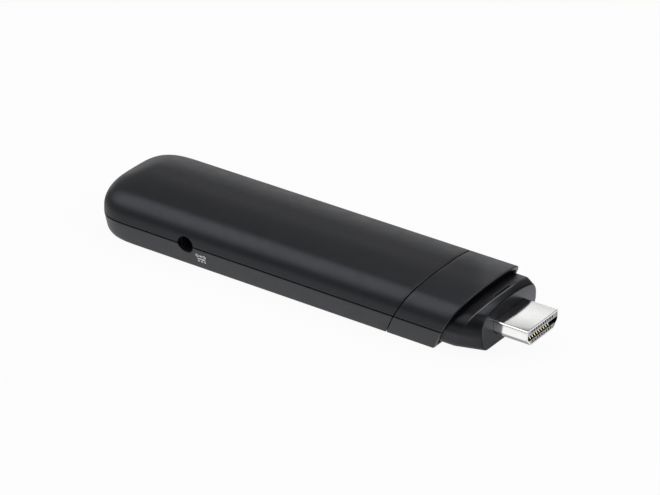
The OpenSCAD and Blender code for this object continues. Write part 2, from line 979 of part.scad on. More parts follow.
module switch_plunger()
    color("#d9d4c4")
        rod_y(switch_x, switch_z, plunger_diameter, plunger_rear_y, plunger_front_y);

upper_shell();
lower_shell();
upper_collar();
lower_collar();
nose();
hdmi_shell();
hdmi_insulator();
hdmi_contacts();
mainboard();
processor();
thermal_pad();
heat_spreader();
memory_chips();
storage_chip();
power_chip();
inductors();
capacitors();
crystal();
wireless_module();
wireless_shield();
antenna();
usb_shell();
usb_tongue();
usb_contacts();
jack_housing();
jack_pin();
jack_spring();
switch_body();
switch_plunger();
screws();
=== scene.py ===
"""Looks of the stick computer: smooth casing, plug, socket sign, finishes, studio and camera."""

import math

import bmesh
import bpy
import numpy as np
from mathutils import Matrix, Vector
from mathutils.kdtree import KDTree


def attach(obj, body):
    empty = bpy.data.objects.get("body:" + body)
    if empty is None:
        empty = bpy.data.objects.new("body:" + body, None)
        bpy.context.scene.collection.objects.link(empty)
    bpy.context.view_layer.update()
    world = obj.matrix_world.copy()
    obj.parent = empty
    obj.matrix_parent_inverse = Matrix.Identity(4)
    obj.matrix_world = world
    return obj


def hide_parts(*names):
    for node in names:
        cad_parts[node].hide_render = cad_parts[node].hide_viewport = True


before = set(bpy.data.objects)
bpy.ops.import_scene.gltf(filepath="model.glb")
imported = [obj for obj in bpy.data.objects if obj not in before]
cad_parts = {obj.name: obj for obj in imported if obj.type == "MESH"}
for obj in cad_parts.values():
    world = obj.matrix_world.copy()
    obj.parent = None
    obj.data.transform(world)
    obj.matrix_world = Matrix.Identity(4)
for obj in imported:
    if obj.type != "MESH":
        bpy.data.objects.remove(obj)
scene = bpy.context.scene
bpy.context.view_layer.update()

MM = 0.001

# Sizes in millimetres, the solids' own
OVERALL_LENGTH = 122.0
HALF_WIDTH = 15.5
BODY_HEIGHT = 14.9
PARTING_Z = 6.4
SHOULDER_RADIUS = 5.7
CROWN_RADIUS = 38.0
CREST_HALF = 2.0
LOWER_LEAN = 2.3
LOWER_EDGE_RADIUS = 0.6
TAIL_DEPTH = 12.5
TAIL_POWER = 3.6
TAIL_SHARE = 0.59
TAIL_EDGE_RADIUS = 2.2
TAIL_EDGE_LEAST = 1.5 * LOWER_EDGE_RADIUS
WALL = 1.2
SEAM_GAP = 0.25
SEAM_SLANT = math.tan(math.radians(27.8))
COLLAR_LENGTH = 13.5
COLLAR_WALL = 1.0
NOSE_REACH = 9.2
NOSE_INSET = 1.4
NOSE_WALL = 1.2
NOSE_BEVEL = 1.8
PLUG_REACH = 9.3
PLUG_WIDTH = 13.9
PLUG_HEIGHT = 4.45
PLUG_SHEET = 0.3

# The line between the shells is wider than in the solids, as the photograph shows it
PARTING_GAP = 0.34

TAIL_X = -OVERALL_LENGTH / 2
TIP_X = OVERALL_LENGTH / 2
NOSE_X = TIP_X - PLUG_REACH
COLLAR_X = NOSE_X - NOSE_REACH
SEAM_X = COLLAR_X - COLLAR_LENGTH
UPPER_EDGE_Z = PARTING_Z + PARTING_GAP / 2
LOWER_EDGE_Z = PARTING_Z - PARTING_GAP / 2
BOARD_MID = PARTING_Z + 0.3
BOARD_HALF = 0.5
LIP_INSET = 0.65
LIP_FOOT_Z = PARTING_Z - 0.6
LIP_TOP_Z = PARTING_Z + 0.9
LIP_FRONT_X = SEAM_X - 1
FIT = 0.1
OVERLAP = 0.2
BEYOND = 2.0
MERGE = 0.002
SAME_POINT = 0.001

SHOULDER_Y = HALF_WIDTH - SHOULDER_RADIUS
SHOULDER_ASIDE = SHOULDER_Y - CREST_HALF
CROWN_Z = BODY_HEIGHT - CROWN_RADIUS
SHOULDER_Z = CROWN_Z + math.sqrt((CROWN_RADIUS - SHOULDER_RADIUS) ** 2 - SHOULDER_ASIDE**2)
SHOULDER_TURN = math.degrees(math.atan2(SHOULDER_Z - CROWN_Z, SHOULDER_ASIDE))
LEAN = math.atan(LOWER_LEAN / PARTING_Z)

# Small rounds on moulded edges
EDGE_ROUND = 0.12
COLLAR_FRONT_ROUND = 0.3
NOSE_CREASE_ROUND = 0.5
NOSE_FRONT_ROUND = 0.3

# Steps and points along the curves
SHOULDER_STEPS = 20
CROWN_STEPS = 12
LOWER_EDGE_STEPS = 8
UPRIGHT_POINTS = 5
LOWER_WALL_POINTS = 16
SIDE_POINTS = 70
TAIL_STEPS = 72
COLLAR_POINTS = 14
LEAD_STEPS = 6
BEND_POINTS = 5


class Surface:
    """Points in millimetres and faces of one piece, built up from grids."""

    def __init__(self):
        self.points = []
        self.faces = []

    def add(self, grid):
        """Adds a grid of points and returns their indices, row by row."""
        grid = np.asarray(grid, float)
        rows, columns = grid.shape[:2]
        first = len(self.points)
        self.points.extend(grid.reshape(-1, 3))
        return first + np.arange(rows * columns).reshape(rows, columns)

    def skin(self, index):
        """Four-sided faces between neighbouring rows and columns."""
        corners = (index[:-1, :-1], index[:-1, 1:], index[1:, 1:], index[1:, :-1])
        self.faces.extend(np.stack(corners, axis=-1).reshape(-1, 4).tolist())

    def cap(self, loop):
        self.faces.append(list(loop))

    def join(self, first, second):
        """A closed strip of faces between two loops of equally many points."""
        strip = np.array([first, second])
        self.skin(np.concatenate([strip, strip[:, :1]], axis=1))

    def stack(self, rings):
        """Strips between neighbouring loops."""
        for first, second in zip(rings[:-1], rings[1:]):
            self.join(first, second)

    def solid(self, rings):
        """Strips between neighbouring loops, with both ends closed."""
        self.stack(rings)
        self.cap(rings[0])
        self.cap(rings[-1])

    def fold(self, row):
        """Closes a symmetric row of an odd count by joining each point to its opposite one."""
        half = len(row) // 2
        self.skin(np.array([row[:half], row[::-1][:half]]))
        self.cap(row[half - 1 : half + 2])


def arc(start, end, steps):
    """Angles in radians between two angles in degrees, both ends included."""
    return np.radians(np.linspace(start, end, steps + 1))


def circle(radius, steps):
    """Points of a circle about the origin."""
    return [(radius * math.cos(a), radius * math.sin(a)) for a in arc(0, 360, steps)[:-1]]


def fillet(radius, steps=4):
    """(distance from the edge, inset) pairs round a small edge, from its end face inward."""
    return [(radius * (1 - math.sin(a)), radius * (1 - math.cos(a))) for a in arc(90, 0, steps)]


def slanted(x, z, slant=SEAM_SLANT):
    """X at one height on a leaning line, by default one that leans with the seams."""
    return x + slant * (z - PARTING_Z)


def oblong(x0, x1, y0, y1):
    return [(x0, y0), (x1, y0), (x1, y1), (x0, y1)]


def rounded(corners, radius, steps=6):
    """A polygon with every corner rounded by an arc."""
    outline = []
    count = len(corners)
    for i in range(count):
        corner = Vector(corners[i])
        back = (Vector(corners[i - 1]) - corner).normalized()
        ahead = (Vector(corners[(i + 1) % count]) - corner).normalized()
        half = back.angle(ahead) / 2
        centre = corner + (back + ahead).normalized() * radius / math.sin(half)
        first = corner + back * radius / math.tan(half) - centre
        last = corner + ahead * radius / math.tan(half) - centre
        start = math.atan2(first.y, first.x)
        sweep = (math.atan2(last.y, last.x) - start + math.pi) % (2 * math.pi) - math.pi
        for k in range(steps + 1):
            a = start + sweep * k / steps
            outline.append((centre.x + radius * math.cos(a), centre.y + radius * math.sin(a)))
    return outline


def new_object(name, surface):
    """A mesh object in metres with its faces turned outward."""
    mesh = bpy.data.meshes.new(name)
    mesh.from_pydata([tuple(MM * c for c in p) for p in surface.points], [], surface.faces)
    shape = bmesh.new()
    shape.from_mesh(mesh)
    bmesh.ops.recalc_face_normals(shape, faces=shape.faces)
    shape.to_mesh(mesh)
    shape.free()
    thing = bpy.data.objects.new(name, mesh)
    scene.collection.objects.link(thing)
    return thing


def clean(mesh):
    """Merges points that a cut or joint left on top of each other and drops empty faces."""
    shape = bmesh.new()
    shape.from_mesh(mesh)
    bmesh.ops.remove_doubles(shape, verts=shape.verts, dist=MERGE * MM)
    bmesh.ops.dissolve_degenerate(shape, edges=shape.edges, dist=MERGE * MM)
    shape.to_mesh(mesh)
    shape.free()


def combine(thing, operation, tools):
    """Joins the tools to a piece or cuts them out of it, and removes them."""
    for tool in tools:
        modifier = thing.modifiers.new("combine", "BOOLEAN")
        modifier.operation = operation
        modifier.solver = "EXACT"
        modifier.object = tool
    graph = bpy.context.evaluated_depsgraph_get()
    made = bpy.data.meshes.new_from_object(thing.evaluated_get(graph))
    thing.modifiers.clear()
    thing.data = made
    for tool in tools:
        bpy.data.objects.remove(tool)
    clean(made)


def cut(thing, *tools):
    combine(thing, "DIFFERENCE", tools)


def weld(thing, *tools):
    combine(thing, "UNION", tools)


def settle(thing, finish, node=None, smooth_angle=30):
    """Shades a finished piece, gives it its material and puts it in the place of its CAD node."""
    mesh = thing.data
    mesh.materials.clear()
    mesh.materials.append(finish)
    mesh.shade_smooth()
    mesh.set_sharp_from_angle(angle=math.radians(smooth_angle))
    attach(thing, "stick")
    if node:
        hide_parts(node)


def bar(name, lines):
    """A bar from the four lines of points along its edges."""
    surface = Surface()
    index = surface.add(lines)
    surface.skin(np.concatenate([index, index[:1]]))
    surface.cap(index[:, 0])
    surface.cap(index[:, -1])
    return new_object(name, surface)


def solid(name, rings):
    """An object through loops of points, closed at both ends."""
    surface = Surface()
    surface.solid(surface.add(rings))
    return new_object(name, surface)


def prism_x(name, outline, x0, x1):
    """A straight bar along X with an outline of (y, z) points."""
    return solid(name, [[(x, y, z) for y, z in outline] for x in (x0, x1)])


def pillar(name, x, y, diameter, z0, z1, steps=48):
    """An upright round post."""
    outline = circle(diameter / 2, steps)
    return solid(name, [[(x + dx, y + dy, z) for dx, dy in outline] for z in (z0, z1)])


def spindle_y(name, profile, x, z, steps=64):
    """A turned solid about an axis along Y, from (radius, y) pairs."""
    rings = []
    for radius, y in profile:
        rings.append([(x + dx, y, z + dz) for dx, dz in circle(radius, steps)])
    return solid(name, rings)


# Materials

# Range in which most of a noise field lies
NOISE_LOW = 0.3
NOISE_HIGH = 0.7

# Size of the patches, in millimetres, in which tone and gloss wander
PLASTIC_TONE_PATCH = 6.0
PLASTIC_GLOSS_PATCH = 2.5
METAL_TONE_PATCH = 3.0
METAL_GLOSS_PATCH = 0.6
GRAIN_DETAIL = 3.0


def add_node(tree, kind, inputs=None, operation=None):
    """A new node, its inputs set to plain values or linked to other nodes' outputs."""
    node = tree.nodes.new("ShaderNode" + kind)
    if operation:
        node.operation = operation
    for key, value in (inputs or {}).items():
        if isinstance(value, bpy.types.NodeSocket):
            tree.links.new(value, node.inputs[key])
        else:
            node.inputs[key].default_value = value
    return node


def feed(tree, name, output):
    """Links an output to an input of the material's shader."""
    tree.links.new(output, tree.nodes["Principled BSDF"].inputs[name])


def principled(name, roughness, metallic=0.0, specular=0.5):
    finish = bpy.data.materials.new(name)
    finish.use_nodes = True
    inputs = finish.node_tree.nodes["Principled BSDF"].inputs
    inputs["Roughness"].default_value = roughness
    inputs["Metallic"].default_value = metallic
    inputs["Specular IOR Level"].default_value = specular
    return finish


def maths(tree, operation, first, second=0.0):
    """One sum in a material, of links or plain numbers."""
    return add_node(tree, "Math", {0: first, 1: second}, operation).outputs[0]


def remap(tree, value, from_low, from_high, to_low, to_high):
    """A value that changes evenly between two ends and stays the same past them."""
    ends = {"From Min": from_low, "From Max": from_high, "To Min": to_low, "To Max": to_high}
    return add_node(tree, "MapRange", {"Value": value, **ends}).outputs["Result"]


def object_place(tree):
    """Where a point lies on the object, in metres."""
    return add_node(tree, "TexCoord").outputs["Object"]


def noise(tree, size, detail=2.0, stretch=1):
    """A noise field with lumps of about size millimetres, longer along X when stretched."""
    along = {"Vector": object_place(tree), "Scale": (1 / stretch, 1, 1)}
    spread = add_node(tree, "Mapping", along)
    lumps = {"Vector": spread.outputs["Vector"], "Scale": 1 / (size * MM), "Detail": detail}
    return add_node(tree, "TexNoise", lumps).outputs["Fac"]


def two_tones(tree, value, low, high, start=0.0, end=1.0):
    """A colour that goes from one tone to the other as a value rises from start to end."""
    ramp = add_node(tree, "ValToRGB", {"Fac": value})
    for element, place, tone in zip(ramp.color_ramp.elements, (start, end), (low, high)):
        element.position = place
        element.color = (*tone, 1)
    return ramp.outputs["Color"]


def drift_colour(tree, low, high, size):
    """Lets the colour wander between two tones."""
    feed(tree, "Base Color", two_tones(tree, noise(tree, size), low, high, NOISE_LOW, NOISE_HIGH))


def drift_roughness(tree, low, high, size, stretch=1):
    """Lets the gloss wander between two levels."""
    field = noise(tree, size, stretch=stretch)
    feed(tree, "Roughness", remap(tree, field, NOISE_LOW, NOISE_HIGH, low, high))


def grain(tree, size, height, stretch=1):
    """A fine relief, its size and height in millimetres."""
    field = noise(tree, size, GRAIN_DETAIL, stretch)
    relief = {"Strength": 1.0, "Distance": height * MM, "Height": field}
    feed(tree, "Normal", add_node(tree, "Bump", relief).outputs["Normal"])


def plastic(name, tones, roughness, spark, specular=0.5, sheen=(1, 1, 1)):
    """Moulded plastic: two close tones, two gloss levels, a spark-eroded grain (size, height)."""
    finish = principled(name, roughness[0], specular=specular)
    tree = finish.node_tree
    tree.nodes["Principled BSDF"].inputs["Specular Tint"].default_value = (*sheen, 1)
    drift_colour(tree, *tones, PLASTIC_TONE_PATCH)
    drift_roughness(tree, *roughness, PLASTIC_GLOSS_PATCH)
    grain(tree, *spark)
    return finish


def metal(name, tones, roughness, stretch, lines):
    """Plated or rolled metal: gloss and fine lines (size, height) run the rolling direction."""
    finish = principled(name, roughness[0], metallic=1.0)
    tree = finish.node_tree
    drift_colour(tree, *tones, METAL_TONE_PATCH)
    drift_roughness(tree, *roughness, METAL_GLOSS_PATCH, stretch)
    grain(tree, *lines, stretch)
    return finish


COOL = (0.86, 0.89, 1.0)
SATIN = {
    "tones": ((0.0075, 0.0076, 0.0088), (0.0095, 0.0096, 0.011)),
    "roughness": (0.38, 0.44),
    "spark": (0.12, 0.002),
    "specular": 0.54,
    "sheen": COOL,
}
SHELL = plastic("satin_shell", **SATIN)
COLLAR = plastic("satin_collar", **SATIN)

GLOSS_BLACK = {
    "tones": ((0.004, 0.004, 0.005), (0.006, 0.006, 0.007)),
    "spark": (0.9, 0.001),
    "sheen": COOL,
}
# Grey painted onto the nose's crease and the ridge's crest as a highlight
HIGHLIGHT_GREY = (0.32, 0.33, 0.37, 1)
HIGHLIGHT_PATCH = 2.0


def nose_painted_highlight():
    """Smooth black with a painted highlight: unevenly grey where a piece is marked for it."""
    finish = plastic("nose_painted_highlight", roughness=(0.34, 0.4), specular=0.3, **GLOSS_BLACK)
    tree = finish.node_tree
    base_tone = tree.nodes["Principled BSDF"].inputs["Base Color"].links[0].from_socket
    painted_highlight = add_node(tree, "Attribute")
    painted_highlight.attribute_name = "painted_highlight"
    blend = add_node(tree, "Mix")
    blend.data_type = "RGBA"
    # The colours' sockets come after those for numbers and vectors
    factor, plain, highlight_input = [blend.inputs[i] for i in (0, 6, 7)]
    highlight_input.default_value = HIGHLIGHT_GREY
    # Painted highlight: the grey is mixed in, in patches, where a point is marked
    amount = maths(tree, "MULTIPLY", painted_highlight.outputs["Fac"], noise(tree, HIGHLIGHT_PATCH))
    tree.links.new(amount, factor)
    tree.links.new(base_tone, plain)
    feed(tree, "Base Color", blend.outputs[2])
    return finish


NOSE = nose_painted_highlight()
NOSE_FACE = plastic("polished_nose", roughness=(0.28, 0.34), specular=0.95, **GLOSS_BLACK)
STEEL = metal(
    "nickel_plate", ((0.92, 0.92, 0.905), (0.96, 0.96, 0.945)),
    roughness=(0.1, 0.15), stretch=12, lines=(0.15, 0.0003),
)
BLACK_MOULDING = plastic(
    "black_moulding", ((0.012, 0.012, 0.013), (0.018, 0.018, 0.019)),
    roughness=(0.4, 0.5), spark=(0.08, 0.001),
)
GOLD = metal(
    "gold_plate", ((0.83, 0.72, 0.46), (0.9, 0.8, 0.55)),
    roughness=(0.24, 0.32), stretch=4, lines=(0.1, 0.0004),
)
CHIP = plastic(
    "chip_moulding", ((0.016, 0.016, 0.017), (0.024, 0.024, 0.025)),
    roughness=(0.5, 0.6), spark=(0.06, 0.002),
)
ALUMINIUM = metal(
    "extruded_aluminium", ((0.66, 0.67, 0.68), (0.74, 0.75, 0.76)),
    roughness=(0.28, 0.4), stretch=20, lines=(0.2, 0.002),
)
PAD = plastic(
    "thermal_pad_rubber", ((0.26, 0.3, 0.36), (0.31, 0.35, 0.41)),
    roughness=(0.7, 0.8), spark=(0.2, 0.006),
)
FERRITE = plastic(
    "sintered_ferrite", ((0.07, 0.065, 0.06), (0.11, 0.1, 0.09)),
    roughness=(0.6, 0.7), spark=(0.08, 0.004),
)
CERAMIC = plastic(
    "fired_ceramic", ((0.36, 0.24, 0.13), (0.46, 0.32, 0.18)),
    roughness=(0.35, 0.45), spark=(0.05, 0.001),
)
IVORY = plastic(
    "ivory_plunger", ((0.62, 0.58, 0.48), (0.68, 0.64, 0.54)),
    roughness=(0.4, 0.5), spark=(0.06, 0.001),
)
SCREW_STEEL = metal(
    "zinc_steel", ((0.4, 0.41, 0.42), (0.48, 0.49, 0.5)),
    roughness=(0.3, 0.42), stretch=1, lines=(0.1, 0.001),
)
PRINT = plastic(
    "white_print", ((0.88, 0.88, 0.9), (0.93, 0.93, 0.95)),
    roughness=(0.5, 0.6), spark=(0.05, 0.001),
)

RUN_SPACING = 4
RUN_WIDTH = 0.03


def laminate():
    """Solder-masked board: green coat, copper runs just under it."""
    finish = principled("solder_mask", 0.35)
    tree = finish.node_tree
    runs = {
        "Vector": object_place(tree),
        "Color1": (0.012, 0.09, 0.04, 1),
        "Color2": (0.016, 0.12, 0.055, 1),
        "Mortar": (0.03, 0.19, 0.09, 1),
        "Scale": 1 / (RUN_SPACING * MM),
        "Mortar Size": RUN_WIDTH,
    }
    feed(tree, "Base Color", add_node(tree, "TexBrick", runs).outputs["Color"])
    drift_roughness(tree, low=0.3, high=0.42, size=1.5)
    grain(tree, size=0.3, height=0.003)
    return finish


BOARD = laminate()

# Depths behind the plug's tip between which the insulator's light front gives way to painted shade
PAINTED_SHADE_DEPTH = 0.23
PAINTED_SHADE_START = 0.17


def insulator_painted_shade():
    """The plug's insulator: light on its front, black behind as painted shade in the slot and
    grooves.
    """
    finish = principled("insulator_with_painted_shade", 0.45)
    tree = finish.node_tree
    x = add_node(tree, "SeparateXYZ", {"Vector": object_place(tree)}).outputs["X"]
    # Black from this depth back is painted shade inside the slot and grooves
    skin = remap(tree, x, (TIP_X - PAINTED_SHADE_DEPTH) * MM, (TIP_X - PAINTED_SHADE_START) * MM, 0.0, 1.0)
    feed(tree, "Base Color", two_tones(tree, skin, (0.008, 0.008, 0.009), (0.46, 0.46, 0.48)))
    drift_roughness(tree, low=0.45, high=0.55, size=1.5)
    grain(tree, size=0.08, height=0.001)
    return finish


INSULATOR = insulator_painted_shade()


# Casing


def upper_profile(inset):
    """Half outline (inset, y, z) from the foot of the shoulder to the crest."""
    shoulder = SHOULDER_RADIUS - inset
    crown = CROWN_RADIUS - inset
    outline = [
        (inset, SHOULDER_Y + shoulder * math.cos(a), SHOULDER_Z + shoulder * math.sin(a))
        for a in arc(0, SHOULDER_TURN, SHOULDER_STEPS)
    ]
    outline += [
        (inset, CREST_HALF + crown * math.cos(a), CROWN_Z + crown * math.sin(a))
        for a in arc(SHOULDER_TURN, 90, CROWN_STEPS)[1:]
    ]
    return outline


def lower_y(inset, z):
    """Half width of the leaning lower wall at one height."""
    return HALF_WIDTH - inset / math.cos(LEAN) - LOWER_LEAN * (1 - z / PARTING_Z)


def lower_profile(inset, radius, heights):
    """Half outline (inset, y, z) from the underside, round its edge and up the wall."""
    touch_z = inset + radius * (1 - math.sin(LEAN))
    centre_y = lower_y(inset, touch_z) - radius * math.cos(LEAN)
    outline = [
        (inset, centre_y + radius * math.cos(a), inset + radius + radius * math.sin(a))
        for a in arc(-90, -math.degrees(LEAN), LOWER_EDGE_STEPS)
    ]
    return outline + [(inset, lower_y(inset, z), z) for z in heights]


UPRIGHT_HEIGHTS = np.linspace(UPPER_EDGE_Z + EDGE_ROUND, SHOULDER_Z, UPRIGHT_POINTS)[1:-1]
LOWER_HEIGHTS = np.linspace(LOWER_EDGE_RADIUS, LOWER_EDGE_Z - EDGE_ROUND, LOWER_WALL_POINTS)
FRONT_EDGE = fillet(EDGE_ROUND)
PLAIN_EDGE = [(0, 0)] * len(FRONT_EDGE)
SHELL_FRONT = SEAM_X - SEAM_GAP / 2


def upper_outside(extra):
    """Upper half outline with its edge on the parting line rounded."""
    edge = [(extra + i, HALF_WIDTH - extra - i, UPPER_EDGE_Z + d) for d, i in FRONT_EDGE]
    side = [(extra, HALF_WIDTH - extra, z) for z in UPRIGHT_HEIGHTS]
    return edge + side + upper_profile(extra)


def upper_inside(inset, rebate):
    """Inner outline, stepped over the lower shell's tongue, with as many points as the outside."""
    step_z = LIP_TOP_Z + FIT
    count = len(FRONT_EDGE) + len(UPRIGHT_HEIGHTS) - 1
    lower = [(rebate, HALF_WIDTH - rebate, z) for z in np.linspace(UPPER_EDGE_Z, step_z, count)]
    return lower + [(inset, HALF_WIDTH - inset, step_z)] + upper_profile(inset)


def lower_outside(extra):
    """Lower half outline with its edge on the parting line rounded."""
    edge = [
        (extra + i, lower_y(extra + i, LOWER_EDGE_Z - d), LOWER_EDGE_Z - d)
        for d, i in reversed(FRONT_EDGE[:-1])
    ]
    return lower_profile(extra, LOWER_EDGE_RADIUS, LOWER_HEIGHTS) + edge


def lower_inside(inset):
    count = len(LOWER_HEIGHTS) + len(FRONT_EDGE) - 1
    heights = np.linspace(inset + LOWER_EDGE_RADIUS, LOWER_EDGE_Z, count)
    return lower_profile(inset, LOWER_EDGE_RADIUS, heights)


def upper_tail(inset, y, z):
    """How far the tail's end lies in from the inset outline: it follows the shoulder."""
    return TAIL_SHARE * (HALF_WIDTH - inset - y)


def lower_tail(inset, y, z):
    """The lower tail's end keeps upright and turns under in an arc."""
    turn = max(TAIL_EDGE_RADIUS - inset, TAIL_EDGE_LEAST)
    under = min(max(1 - (z - inset) / turn, 0), 1)
    return turn * (1 - math.sqrt(1 - under**2))


def casing_rows(section, tail, front, edge):
    """One row of points per height: from the front along the near side, round the tail, back."""
    outlines = [(d, section(extra)) for d, extra in edge]
    rows = []
    for k, (inset, y, z) in enumerate(section(0)):
        end_x = TAIL_X + inset + tail(inset, y, z)
        depth = TAIL_DEPTH - inset
        near = []
        for d, outline in outlines:
            _, edge_y, edge_z = outline[k]
            near.append((slanted(front, edge_z) - d, -edge_y, edge_z))
        straight = np.linspace(near[-1][0], end_x + depth, SIDE_POINTS)[1:-1]
        near += [(x, -y, z) for x in straight]
        end = []
        for a in arc(0, 180, TAIL_STEPS):
            across = math.copysign(abs(math.cos(a)) ** (2 / TAIL_POWER), math.cos(a))
            along = abs(math.sin(a)) ** (2 / TAIL_POWER)
            end.append((end_x + depth * (1 - along), -y * across, z))
        far = [(x, -y, z) for x, y, z in reversed(near)]
        rows.append(near + end + far)
    return rows


def hollow_shell(name, outside, hollow, tail, order):
    """A shell closed across its crest or underside, open to the parting line and the front.

    The order is 1 for half outlines that start at the parting line, -1 for those that end there.
    """
    surface = Surface()
    borders = []
    for section, edge in ((outside, FRONT_EDGE), (lambda extra: hollow, PLAIN_EDGE)):
        index = surface.add(casing_rows(section, tail, SHELL_FRONT, edge))
        surface.skin(index)
        up = index[::order]
        surface.fold(up[-1])
        borders.append(np.concatenate([up[0], up[1:, -1], up[::-1, 0][:-1]]))
    surface.join(*borders)
    return new_object(name, surface)


JACK_X = TAIL_X + 0.322 * (SEAM_X - TAIL_X)
JACK_HOLE_RADIUS = 2.3
JACK_SEAT_RADIUS = 2.75
JACK_SEAT_DEPTH = 1.4
JACK_EDGE = 0.1
JACK_EDGE_OUT = 0.2
USB_OPENING_WIDTH = 13.5
USB_OPENING_HEIGHT = 6.12
USB_OPENING_CORNER = 0.8
PROCESSOR_X = SEAM_X - 21
SWITCH_X = PROCESSOR_X + 8.4
SWITCH_Z = BOARD_MID + 1.5
PINHOLE_RADIUS = 0.75
PINHOLE_EDGE = 0.12
PINHOLE_EDGE_OUT = 0.13


def jack_tool():
    """The power socket's hole: a lightly broken outer edge, then the seat of the socket's ring."""
    mouth = -HALF_WIDTH
    profile = [
        (JACK_HOLE_RADIUS + JACK_EDGE + JACK_EDGE_OUT, mouth - JACK_EDGE_OUT),
        (JACK_HOLE_RADIUS, mouth + JACK_EDGE),
        (JACK_HOLE_RADIUS, mouth + WALL),
        (JACK_SEAT_RADIUS, mouth + WALL),
        (JACK_SEAT_RADIUS, mouth + WALL + JACK_SEAT_DEPTH),
    ]
    return spindle_y("jack_tool", profile, JACK_X, PARTING_Z)


def usb_tool():
    aside = USB_OPENING_WIDTH / 2
    up = USB_OPENING_HEIGHT / 2
    corners = oblong(-aside, aside, BOARD_MID - up, BOARD_MID + up)
    outline = rounded(corners, USB_OPENING_CORNER)
    return prism_x("usb_tool", outline, TAIL_X - BEYOND, TAIL_X + 2 * WALL)


def pinhole_tool():
    """The hole over the reset switch, its outer edge broken."""
    profile = [
        (PINHOLE_RADIUS, HALF_WIDTH - WALL - BEYOND),
        (PINHOLE_RADIUS, HALF_WIDTH - PINHOLE_EDGE),
        (PINHOLE_RADIUS + PINHOLE_EDGE + PINHOLE_EDGE_OUT, HALF_WIDTH + PINHOLE_EDGE_OUT),
    ]
    return spindle_y("pinhole_tool", profile, SWITCH_X, SWITCH_Z, steps=32)


RIB_PLACES = (TAIL_X + 20, SEAM_X - 8)
RIB_THICKNESS = 0.8
RIB_DEPTH = 0.8
LOWER_RIB_HALF = 0.7 * HALF_WIDTH
POST_ENDS = (SEAM_X - 46.2, SEAM_X - 8.7)
POST_Y = 8.6
POST_PLACES = [(x, y) for x in POST_ENDS for y in (-POST_Y, POST_Y)]
POST_DIAMETER = 4.2
PILOT_DIAMETER = 1.6


def both_sides(half):
    """Whole outline (y, z) from the near side to the far one."""
    return [(-y, z) for _, y, z in half] + [(y, z) for _, y, z in reversed(half)]


def arched_rib(name, outline, inner, x0, x1, slant):
    """A rib inside a shell or ring, between two outlines."""
    edges = ((x0, outline), (x1, outline), (x1, inner), (x0, inner))
    return bar(name, [[(slanted(x, z, slant), y, z) for y, z in line] for x, line in edges])


def upper_rib(x):
    outline = both_sides(upper_profile(WALL - OVERLAP))
    inner = both_sides(upper_profile(WALL + RIB_DEPTH))
    return arched_rib("upper_rib", outline, inner, x, x + RIB_THICKNESS, 0)


def lower_rib(x):
    outline = oblong(-LOWER_RIB_HALF, LOWER_RIB_HALF, WALL - OVERLAP, WALL + RIB_DEPTH)
    return prism_x("lower_rib", outline, x - RIB_THICKNESS / 2, x + RIB_THICKNESS / 2)


def screw_post(place):
    return pillar("screw_post", *place, POST_DIAMETER, WALL - OVERLAP, BOARD_MID - BOARD_HALF)


def pilot_tool(place):
    return pillar("pilot_tool", *place, PILOT_DIAMETER, WALL + RIB_DEPTH, BOARD_MID)


def upper_casing():
    """Crowned upper shell with its ribs, its two sockets' openings and the pinhole."""
    hollow = upper_inside(WALL, LIP_INSET - FIT)
    shell = hollow_shell("upper_casing", upper_outside, hollow, upper_tail, 1)
    weld(shell, *[upper_rib(x) for x in RIB_PLACES])
    cut(shell, jack_tool(), usb_tool(), pinhole_tool())
    return shell


def lower_casing():
    """Lower shell with its ribs and screw posts and its two sockets' openings."""
    shell = hollow_shell("lower_casing", lower_outside, lower_inside(WALL), lower_tail, -1)
    posts = [screw_post(place) for place in POST_PLACES]
    weld(shell, *posts, *[lower_rib(x) for x in RIB_PLACES])
    pilots = [pilot_tool(place) for place in POST_PLACES]
    cut(shell, *pilots, jack_tool(), usb_tool())
    return shell


def tongue_line(inset, z):
    """One edge of the tongue on the lower shell's rim, level round the tail."""
    level = [(inset, HALF_WIDTH - inset, z)]
    return casing_rows(lambda extra: level, upper_tail, LIP_FRONT_X, [(0, 0)])[0]


def rim_tongue():
    """The tongue in the upper shell's rebate, an open loop with a rectangular section."""
    outer = [(LIP_INSET, LIP_FOOT_Z), (LIP_INSET, LIP_TOP_Z)]
    inner = [(WALL, LIP_TOP_Z), (WALL, LIP_FOOT_Z)]
    tongue = bar("rim_tongue", [tongue_line(inset, z) for inset, z in outer + inner])
    cut(tongue, jack_tool(), usb_tool())
    return tongue


settle(upper_casing(), SHELL, "upper_shell")
settle(lower_casing(), SHELL, "lower_shell")
settle(rim_tongue(), SHELL)


# Collar

COLLAR_RIB = 1.0
COLLAR_RIB_PLACES = [SEAM_X + share * COLLAR_LENGTH for share in (0.25, 0.5)]
COLLAR_RIB_INSETS = (COLLAR_WALL / 2, NOSE_INSET - FIT / 2)


def collar_band(name, outside, hollow, order):
    """A band between the slanted seams, from half outlines in the order of a shell's."""
    rear = SEAM_X + SEAM_GAP / 2
    length = COLLAR_X - rear
    straight = np.linspace(EDGE_ROUND, length - COLLAR_FRONT_ROUND, COLLAR_POINTS)[1:-1]
    front = reversed(fillet(COLLAR_FRONT_ROUND, LEAD_STEPS))
    stations = FRONT_EDGE + [(d, 0) for d in straight]
    stations += [(length - d, extra) for d, extra in front]
    surface = Surface()
    borders = []
    for section in (outside, lambda extra: hollow):
        rows = []
        for d, extra in stations:
            outline = both_sides(section(extra)[::order])
            rows.append([(slanted(rear, z) + d, y, z) for y, z in outline])
        index = surface.add(rows)
        surface.skin(index)
        there = [index[0], index[1:, -1]]
        back = [index[-1, ::-1][1:], index[::-1, 0][1:-1]]
        borders.append(np.concatenate(there + back))
    surface.join(*borders)
    return new_object(name, surface)


def upper_band(inset):
    start = (inset, HALF_WIDTH - inset, UPPER_EDGE_Z + FIT)
    return both_sides([start] + upper_profile(inset))


